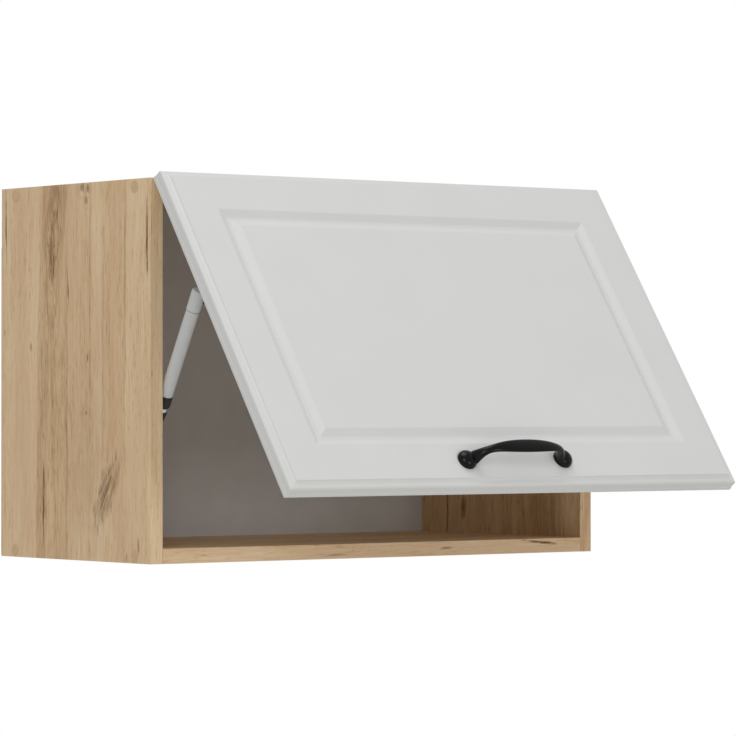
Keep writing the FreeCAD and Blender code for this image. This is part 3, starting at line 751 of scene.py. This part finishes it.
# Satin foil over milled board: an even, very light warm grey with a fine pressed grain.
FLAP_FOIL = MottledFinish("satin_foil_on_milled_board", "#E0E0DE", "#DEDEDC", (0.44, 0.5), 60, 0.9, 0.06)
# Foiled cover cap: printed oak, a shade darker than the boards, with fine upright grain.
CAP_FOIL = MottledFinish("printed_oak_foil_cap", "#DDBB91", "#D2AF85", (0.5, 0.6), 7, 0.8, 0.15,
                         stretch=(1.0, 1.0, 8.0))
# Lacquered hardboard: a flat light grey inside and raw brown fibre behind.
BACK_BOARD = MottledFinish("lacquered_hardboard", "#CFCFCE", "#C9C9C8", (0.55, 0.66), 35, 1.2, 0.2,
                           rear=("#957250", "#806144"))
# Enamelled zinc casting: near black, half glossy, with the slight waviness of a casting.
BLACK_ENAMEL = MottledFinish("black_enamelled_casting", "#0B0B0B", "#050505", (0.2, 0.3), 14, 1.6, 0.2, ior=1.32)
# Lacquered steel tube: pale grey, even and half matt.
GREY_LACQUER = MottledFinish("grey_lacquered_tube", "#D2D4D3", "#CCCECD", (0.35, 0.45), 22, 0.8, 0.1)
# Moulded black plastic: dull, with the fine texture of the mould.
BLACK_PLASTIC = MottledFinish("moulded_black_polyamide", "#272625", "#1C1B1A", (0.5, 0.62), 9, 0.6, 0.4)
# Chromed steel: a bright mirror with faint drawing marks.
CHROME = MottledFinish("chromed_steel_rod", "#E2E3E4", "#D6D8DA", (0.06, 0.14), 12, 0.5, 0.05, metallic=1.0,
                       stretch=(1.0, 1.0, 30.0))
# Blackened steel: dark, oily grey with a dull sheen.
DARK_STEEL = MottledFinish("blackened_pressed_steel", "#3A3937", "#2B2A29", (0.4, 0.55), 10, 0.8, 0.2, metallic=0.85)
# Zinc-plated pressed steel: bright bluish grey with cloudy plating and fine drawing marks.
ZINC = MottledFinish("zinc_plated_pressed_steel", "#C4C6C9", "#A7AAAE", (0.24, 0.4), 7, 0.7, 0.15, metallic=1.0)
# Clear soft polymer: milky, with a soft sheen.
SOFT_STOP = MottledFinish("clear_soft_polymer", "#DADBD7", "#CFD0CC", (0.3, 0.4), 4, 0.5, 0.1, ior=1.45)
# Painted floor of the studio: a warm white, quite dull.
FLOOR_PAINT = MottledFinish("pale_matt_paint", "#E8E7E4", "#E4E3E0", (0.7, 0.8), 300, 3, 0.1)
# Raw fluted beech: pale pinkish brown with short flecks.
BEECH = MottledFinish("raw_beech_dowel", "#D9B88C", "#C39E70", (0.6, 0.75), 5, 0.8, 0.3, stretch=(8.0, 1.0, 1.0))


@dataclass
class Carcass:
    """The boards, their edge bands and the caps over the connecting screws.

    cap_profile gives each ring of a cap: how far it lies inside the rim, and its share of the rise.
    """

    width: float = 600.0
    height: float = 400.0
    depth: float = 290.0
    board: float = 16.0
    band: float = 1.0
    band_round: Rounding = (0.8, 3)
    cap_radius: float = 6.5
    cap_rise: float = 0.6
    cap_profile: tuple[Span, ...] = ((0.0, 0.0), (0.0, 0.55), (0.12, 0.8), (0.45, 1.0), (3.25, 1.0))
    cap_from_front: float = 29.0
    cap_from_back: float = 31.0
    left: OakDecor = OakDecor("oak_decor_melamine_left", Grain.UPRIGHT, LEFT_STAVES, LEFT_MARKS)
    # The right board's decor holds painted shade: its staves darken towards the front edge.
    right: OakDecor = OakDecor("oak_decor_melamine_right", Grain.UPRIGHT, RIGHT_STAVES_AND_PAINTED_SHADE, RIGHT_MARKS)
    bottom: OakDecor = OakDecor("oak_decor_melamine_bottom", Grain.LEVEL, BOTTOM_STAVES, BOTTOM_MARKS)
    top: OakDecor = OakDecor("oak_decor_melamine_top", Grain.LEVEL, TOP_STAVES, TOP_MARKS)

    def build(self) -> None:
        """Makes the bands and caps, and dresses the boards."""
        boards = {"left_side_panel": self.left.make(), "right_side_panel": self.right.make(),
                  "top_panel": self.top.make(), "bottom_panel": self.bottom.make()}
        for name, material in boards.items():
            dress(material, name)
        dress(BACK_BOARD.make(), "back_panel")
        self.build_bands(boards)
        self.build_caps()

    def build_bands(self, boards: dict[str, Material]) -> None:
        """Makes the edge bands, whose front corners are rounded by a scraper.

        Args:
            boards: The boards' finishes by node, which their bands share.
        """
        x, z, inner = self.width / 2, self.height / 2, self.width / 2 - self.board
        front = -self.depth
        spans = (
            ("left_side_panel", (-x, -z), (-inner, z)), ("right_side_panel", (inner, -z), (x, z)),
            ("top_panel", (-inner, z - self.board), (inner, z)),
            ("bottom_panel", (-inner, -z), (inner, self.board - z)))
        strips = []
        for name, low, high in spans:
            strip = add_block(f"{name}_band", (low[0], front, low[1]), (high[0], front + self.band, high[1]))
            across = 0 if high[1] - low[1] > high[0] - low[0] else 2
            bevel_edges(strip, lambda a, b: CLOSE * MM > max(
                abs(a.y - front * MM), abs(b.y - front * MM), abs(a[across] - b[across])), *self.band_round)
            smooth(strip)
            strip.data.materials.append(boards[name])
            strips.append(strip)
        install(fuse("rounded_edge_bands", strips), None, "carcass", "oak_edging", "edge_bands")

    def build_caps(self) -> None:
        """Makes the flat caps that cover the connecting screws."""
        profile = [(self.cap_radius - inside, share * self.cap_rise) for inside, share in self.cap_profile]
        level = self.height / 2 - self.board / 2
        caps = []
        for side in Side:
            cap = add_turned(f"cap_{side.word}", profile)
            smooth(cap)
            out = Matrix.Rotation(side.value * QUARTER_TURN, 4, "Y")
            caps += copies(cap, [
                Matrix.Translation(Vector((side.value * self.width / 2, y, z)) * MM) @ out
                for y in (self.cap_from_front - self.depth, -self.cap_from_back) for z in (-level, level)])
        install(fuse("screw_cover_caps", caps), CAP_FOIL.make(), "carcass", "oak_cap", "screw_caps")


@dataclass
class FlapLeaf:
    """The milled flap: a lip, a rounded and then hollowed edge, and a groove round a flat field.

    Edges that turn by more than crisp, in degrees, stay sharp.
    """

    width: float = 596.0
    height: float = 398.0
    lip: float = 5.0
    lip_reach: float = 0.6
    board: float = 15.0
    step: float = 3.0
    shoulder: float = 3.6
    hollow_steps: int = 6
    field_inset: float = 9.0
    groove_inset: float = 51.0
    groove_slope: float = 8.3
    groove_floor: float = 4.0
    groove_depth: float = 4.0
    rim_round: Rounding = (0.8, 3)
    foot_round: Rounding = (1.2, 4)
    field_round: Rounding = (0.25, 5)
    edge_round: Rounding = (2.9, 8)
    lip_round: Rounding = (0.4, 3)
    rear_round: Rounding = (0.6, 2)
    crisp: float = 20.0
    cup_radius: float = 17.5
    cup_depth: float = 12.0
    cup_inset: float = 23.0
    cup_middle: float = 200.0
    cup_sides: int = 64
    overrun: float = 1.0
    lean: float = 35.0

    @property
    def pose(self) -> Matrix:
        """Where the shut flap's frame, with its origin on the hinge axis, stands at rest."""
        return Matrix.Translation(joint_place("flap_hinge")) @ Matrix.Rotation(-math.radians(self.lean), 4, "X")

    def ring(self, inset: float, depth: float) -> Test:
        """Makes a test for the edges on the flap's outline, drawn in by an inset and moved forwards by a depth.

        Args:
            inset: How far the outline is drawn in, in millimetres.
            depth: How far in front of the rear face, in millimetres.

        Returns:
            A test of an edge's two ends.
        """
        half_x, half_z = self.width / 2 - inset, self.height / 2 - inset

        def off(place: Vector) -> float:
            """How far a place lies from the outline and its depth, in millimetres."""
            x, z = abs(place.x / MM) - half_x, abs(place.z / MM + self.height / 2) - half_z
            return max(abs(max(x, z)), abs(place.y / MM + depth))

        def test(a: Vector, b: Vector) -> bool:
            """Whether an edge lies on the outline."""
            return max(off(a), off(b), off((a + b) / 2)) < CLOSE

        return test

    def build(self) -> None:
        """Mills the flap from a plain board and sets it on its hinge."""
        piece = add_block("milled_flap", (-self.width / 2, -self.lip, -self.height), (self.width / 2, 0, 0))
        mesh = open_mesh(piece, "FACE")
        for facet in mesh.faces:
            facet.select_set(facet.normal.y < -FACING)
        bmesh.update_edit_mesh(piece.data)
        bpy.ops.mesh.inset(thickness=self.lip_reach * MM)
        bpy.ops.mesh.extrude_region_move(TRANSFORM_OT_translate={"value": (0, (self.lip - self.board) * MM, 0)})
        bpy.ops.mesh.inset(thickness=(self.shoulder - self.lip_reach) * MM)
        turns = [QUARTER_TURN * count / self.hollow_steps for count in range(self.hollow_steps + 1)]
        for before, after in zip(turns, turns[1:]):
            bpy.ops.mesh.inset(
                thickness=(self.field_inset - self.shoulder) * (math.sin(after) - math.sin(before)) * MM,
                depth=self.step * (math.cos(before) - math.cos(after)) * MM)
        bpy.ops.mesh.inset(thickness=(self.groove_inset - self.field_inset) * MM)
        bpy.ops.mesh.inset(thickness=self.groove_slope * MM, depth=-self.groove_depth * MM)
        bpy.ops.mesh.inset(thickness=self.groove_floor * MM)
        bpy.ops.mesh.inset(thickness=self.groove_slope * MM, depth=self.groove_depth * MM)
        face = self.board + self.step
        outer = self.groove_inset + self.groove_slope
        inner = outer + self.groove_floor
        floor = face - self.groove_depth
        for inset, depth, rounding in (
                (inner + self.groove_slope, face, self.rim_round), (inner, floor, self.foot_round),
                (outer, floor, self.foot_round), (self.groove_inset, face, self.rim_round),
                (self.field_inset, face, self.field_round), (self.lip_reach, self.board, self.edge_round),
                (0.0, self.lip, self.lip_round), (0.0, 0.0, self.rear_round)):
            bevel_edges(piece, self.ring(inset, depth), *rounding)
        for side in Side:
            cutter = add_turned("cup_cutter", (
                (self.cup_radius, -self.overrun), (self.cup_radius, self.cup_depth)), self.cup_sides)
            bore = Matrix.Translation(Vector((side.value * self.cup_middle, 0, -self.cup_inset)) * MM)
            carve(piece, settle(cutter, bore @ Matrix.Rotation(QUARTER_TURN, 4, "X")))
        smooth(settle(piece, self.pose), self.crisp)
        install(piece, FLAP_FOIL.make(), "flap", "foiled_mdf", "flap_panel")


@dataclass(frozen=True)
class BowStation:
    """One section of the handle's bow: where it lies, how wide and thick it is, and how the bow slopes there."""

    along: float
    rise: float
    width: float
    thickness: float
    slope: float


@dataclass
class BowHandle:
    """The black cast bow handle on two button feet."""

    flap: FlapLeaf
    span: float = 128.0
    from_bottom: float = 30.0
    foot_radius: float = 11.0
    foot_rise: float = 9.0
    foot_rim: float = 1.2
    foot_edge: float = 0.4
    foot_steps: int = 9
    sides: int = 20
    soft_levels: int = 2
    crisp: float = 50.0
    stations: tuple[BowStation, ...] = (
        BowStation(58.5, 2.0, 17.5, 9.4, 75), BowStation(56.4, 8.0, 14.6, 8.8, 72),
        BowStation(53.8, 13.0, 11.2, 7.8, 62), BowStation(50.3, 17.6, 9.2, 6.8, 46),
        BowStation(44.5, 21.5, 8.4, 5.8, 28), BowStation(36.0, 24.1, 11.0, 5.4, 14),
        BowStation(22.0, 25.8, 14.6, 5.5, 5), BowStation(0.0, 26.3, 16.4, 5.6, 0))

    def spot(self, along: float, rise: float) -> Matrix:
        """A place on the shut flap: so far along the handle and in front of the flap's face, in millimetres."""
        face, level = -(self.flap.board + self.flap.step), self.from_bottom - self.flap.height
        return Matrix.Translation(Vector((along, face - rise, level)) * MM)

    def build(self) -> None:
        """Makes the bow and its feet, and sets them on the flap."""
        feet = self.make_feet()
        piece = fuse("cast_bow_handle", [self.make_bow(), *feet])
        smooth(settle(piece, self.flap.pose), self.crisp)
        install(piece, BLACK_ENAMEL.make(), "flap", "black_enamel", "handle")

    def make_bow(self) -> Piece:
        """Lofts the bow through its sections.

        Returns:
            The closed bow.
        """
        left = [(-s.along, s.slope, s) for s in self.stations]
        right = [(s.along, -s.slope, s) for s in reversed(self.stations[:-1])]
        # A ring's own axes: its width goes upright, its thickness forwards and its axis along the bow.
        axes = Matrix(((0, 0, 1, 0), (0, -1, 0, 0), (1, 0, 0, 0), (0, 0, 0, 1)))
        rings = []
        for count, (x, slope, station) in enumerate(left + right):
            start_piece()
            bpy.ops.mesh.primitive_circle_add(vertices=self.sides, radius=1.0)
            ring = named(f"bow_ring_{count}")
            size = Matrix.Diagonal((station.width / 2 * MM, station.thickness / 2 * MM, 1.0, 1.0))
            tilt = Matrix.Rotation(-math.radians(slope), 4, "Z")
            rings.append(settle(ring, self.spot(x, station.rise) @ tilt @ axes @ size))
        bow = fuse("bow", rings)
        bpy.ops.object.mode_set(mode="EDIT")
        bpy.ops.mesh.select_all(action="SELECT")
        bpy.ops.mesh.bridge_edge_loops(type="SINGLE")
        bpy.ops.mesh.select_all(action="SELECT")
        bpy.ops.mesh.fill_holes(sides=0)
        bpy.ops.mesh.normals_make_consistent(inside=False)
        bpy.ops.object.mode_set(mode="OBJECT")
        soft = bow.modifiers.new("soft", "SUBSURF")
        soft.levels = soft.render_levels = self.soft_levels
        bpy.ops.object.modifier_apply(modifier=soft.name)
        return bow

    def make_feet(self) -> list[Piece]:
        """Turns a button foot and copies it to both ends.

        Returns:
            The two feet.
        """
        arc = [QUARTER_TURN * count / self.foot_steps for count in range(1, self.foot_steps)]
        r, rim, edge = self.foot_radius, self.foot_rim, self.foot_edge
        profile = [(r - edge, 0.0), (r, edge), (r, rim)]
        profile += [(r * math.cos(turn), rim + (self.foot_rise - rim) * math.sin(turn)) for turn in arc]
        foot = add_turned("button_foot", profile)
        out = Matrix.Rotation(QUARTER_TURN, 4, "X")
        return copies(foot, [self.spot(side.value * self.span / 2, 0) @ out for side in Side])


@dataclass(frozen=True)
class TurnedPart:
    """One turned piece of the strut's cylinder.

    start and end are distances from the pin and bore is a radius. upper and lower give the radius of each ring, with
    its distance below the start or above the end.
    """

    name: str
    slot: str
    bore: float
    start: float
    end: float
    upper: tuple[Span, ...]
    lower: tuple[Span, ...]

    @property
    def profile(self) -> list[Span]:
        """Radius and height of each ring, from the top down."""
        upper = [(radius, -self.start - below) for radius, below in self.upper]
        return upper + [(radius, above - self.end) for radius, above in self.lower]


@dataclass
class GasStrut:
    """The cylinder of one gas strut: head, tube, collar, ring and nose."""

    side: Side
    lean: float = 29.2
    parts: tuple[TurnedPart, ...] = (
        TurnedPart("head", "grey_lacquered_steel", 4.0, -7.0, 16.5,
                   ((6.2, 0.0), (6.9, 0.2), (7.4, 0.9), (7.5, 1.6)),
                   ((7.5, 0.9), (7.3, 0.5), (5.9, 0.4), (5.9, 0.0))),
        TurnedPart("tube", "grey_lacquered_steel", 5.0, 16.5, 116.7,
                   ((5.9, 0.0), (5.9, 0.6), (6.8, 0.7), (7.0, 1.1)), ((7.0, 1.6), (6.8, 0.6), (6.2, 0.0))),
        TurnedPart("collar", "black_plastic", 3.1, 116.7, 129.7,
                   ((6.6, 0.0), (7.3, 0.4), (7.5, 1.4)), ((7.5, 4.0), (7.2, 1.2), (6.3, 0.0))),
        TurnedPart("ring", "chromed_steel", 3.1, 129.7, 134.7,
                   ((5.4, 0.0), (5.9, 0.4), (6.0, 1.0)), ((6.0, 1.0), (5.8, 0.3), (5.2, 0.0))),
        TurnedPart("nose", "black_plastic", 3.1, 134.7, 146.7,
                   ((5.6, 0.0), (6.3, 0.4), (6.5, 1.2)), ((5.4, 1.2), (5.1, 0.3), (4.6, 0.0))))
    head_wall: float = 1.0
    socket_radius: float = 4.1
    socket_floor: float = 4.4
    socket_depth: float = 5.0
    overrun: float = 1.0
    crisp: float = 50.0
    finishes: dict[str, Material] = field(default_factory=dict)

    @property
    def pose(self) -> Matrix:
        """Where the hanging strut's frame, with its origin on the pin, stands at rest."""
        return Matrix.Translation(joint_place(f"strut_swing_{self.side.word}")) @ Matrix.Rotation(
            math.radians(self.lean), 4, "X")

    def build(self) -> None:
        """Turns each piece of the cylinder, bores it for the rod and sets it on the strut's axis."""
        word = self.side.word
        for part in self.parts:
            piece = add_turned(f"turned_strut_{part.name}_{word}", part.profile)
            top = -part.start + (-self.head_wall if part.name == "head" else self.overrun)
            carve(piece, add_turned("strut_bore", ((part.bore, top), (part.bore, -part.end - self.overrun))))
            if part.name == "head":
                r, inside = self.socket_radius, self.socket_floor
                socket = add_turned("stud_socket", ((r, inside), (r, inside + self.socket_depth)))
                carve(piece, settle(socket, Matrix.Rotation(-self.side.value * QUARTER_TURN, 4, "Y")))
            smooth(settle(piece, self.pose), self.crisp)
            install(piece, self.finishes[part.slot], f"strut_cylinder_{word}", part.slot, f"strut_{part.name}_{word}")


@dataclass
class Fittings:
    """Hinges, plates, screws and the strut's other pieces, whose solids already have their shape."""

    zinc: tuple[str, ...] = (
        "connecting_screws", "back_nails", "hanger_screws", "hinge_plate_screws", "hinge_arm_screws", "hinge_pins",
        "strut_side_screws", "handle_screws", "hinge_cup_screws", "strut_flap_screws")
    zinc_pairs: tuple[str, ...] = ("hanger_plate", "hinge_plate", "hinge_arm", "hinge_strap", "hinge_cup")
    dark: tuple[str, ...] = ("strut_side_plate_left", "strut_side_stud_left", "strut_flap_bracket_left",
                             "strut_flap_stud_left")

    def build(self) -> dict[str, Material]:
        """Dresses the fittings.

        Returns:
            The finishes that the struts share, by the record's slot.
        """
        finishes = {"grey_lacquered_steel": GREY_LACQUER.make(), "black_plastic": BLACK_PLASTIC.make(),
                    "chromed_steel": CHROME.make()}
        words = [side.word for side in Side]
        dress(ZINC.make(), *self.zinc, *(f"{name}_{word}" for name in self.zinc_pairs for word in words))
        dress(DARK_STEEL.make(), *self.dark)
        dress(finishes["chromed_steel"], "strut_rod_left")
        dress(finishes["black_plastic"], "strut_rod_end_left")
        dress(SOFT_STOP.make(), "flap_bumpers")
        dress(BEECH.make(), "dowels")
        return finishes


@dataclass(frozen=True)
class Softbox:
    """A square soft light: where it stands and the length of its side, in millimetres, and its power in watts."""

    name: str
    at: Point
    size: float
    power: float


@dataclass
class Studio:
    """White room, soft lights, floor and camera."""

    azimuth: float = 37.491
    rise: float = 0.519
    distance: float = 4231.27
    focal_px: float = 3927.9
    target: Point = (-16.42, -290.0, 4.515)
    farthest: float = 50000.0
    middle: Point = (0.0, -200.0, 0.0)
    floor_level: float = -1400.0
    floor_size: float = 9000.0
    ambient: float = 0.52
    lights: tuple[Softbox, ...] = (
        Softbox("top_softbox", (-420, -300, 3100), 1900, 31), Softbox("key_softbox", (-2900, -3200, 1400), 1500, 27),
        Softbox("low_softbox", (350, -4050, -150), 800, 14))

    def build(self) -> None:
        """Sets up the room, the lights and the camera."""
        bpy.context.scene.view_settings.view_transform = "Standard"
        self.build_room()
        for light in self.lights:
            self.add_softbox(light)
        self.build_camera()

    def build_room(self) -> None:
        """Makes the floor, and a world that is white to look at and dim as a light."""
        start_piece()
        below = Vector((self.middle[0], self.middle[1], self.floor_level)) * MM
        bpy.ops.mesh.primitive_plane_add(size=self.floor_size * MM, location=below)
        floor = named("pale_floor")
        floor.data.materials.append(FLOOR_PAINT.make())
        world = bpy.data.worlds.new("white_room")
        world.use_nodes = True
        bpy.context.scene.world = world
        tree = world.node_tree
        tree.nodes.clear()
        white = linear("#FFFFFF")
        seen = add_node(tree, "ShaderNodeBackground", {"Color": white, "Strength": 1.0})
        lit = add_node(tree, "ShaderNodeBackground", {"Color": white, "Strength": self.ambient})
        both = add_node(tree, "ShaderNodeMixShader", links={
            0: add_node(tree, "ShaderNodeLightPath").outputs["Is Camera Ray"], 1: lit.outputs[0], 2: seen.outputs[0]})
        add_node(tree, "ShaderNodeOutputWorld", links={"Surface": both.outputs[0]})

    def add_softbox(self, box: Softbox) -> None:
        """Adds a soft light that faces the cabinet.

        Args:
            box: The light's place, size and power.
        """
        light = bpy.data.lights.new(box.name, "AREA")
        light.size, light.energy = box.size * MM, box.power
        holder = bpy.data.objects.new(box.name, light)
        holder.location = Vector(box.at) * MM
        holder.rotation_euler = (Vector(self.middle) - Vector(box.at)).to_track_quat("-Z", "Y").to_euler()
        holder.visible_camera = False
        bpy.context.scene.collection.objects.link(holder)

    def build_camera(self) -> None:
        """Stands the camera where the photograph was taken from."""
        turn, lift = math.radians(self.azimuth), math.radians(self.rise)
        ahead = Vector((math.sin(turn) * math.cos(lift), math.cos(turn) * math.cos(lift), math.sin(lift)))
        lens = bpy.data.cameras.new("photo_camera")
        lens.sensor_fit, lens.sensor_width = "HORIZONTAL", SENSOR_MM
        lens.lens = self.focal_px * SENSOR_MM / IMAGE_PX
        lens.clip_end = self.farthest * MM
        camera = bpy.data.objects.new("photo_camera", lens)
        camera.location = (Vector(self.target) - ahead * self.distance) * MM
        camera.rotation_euler = ahead.to_track_quat("-Z", "Y").to_euler()
        bpy.context.scene.collection.objects.link(camera)
        bpy.context.scene.camera = camera


def main() -> None:
    """Builds the cabinet's looks in order."""
    logging.basicConfig(level=logging.INFO, format="%(message)s")
    Studio().build()
    Carcass().build()
    flap = FlapLeaf()
    flap.build()
    BowHandle(flap).build()
    finishes = Fittings().build()
    GasStrut(Side.LEFT, finishes=finishes).build()


if __name__ == "__main__":
    main()
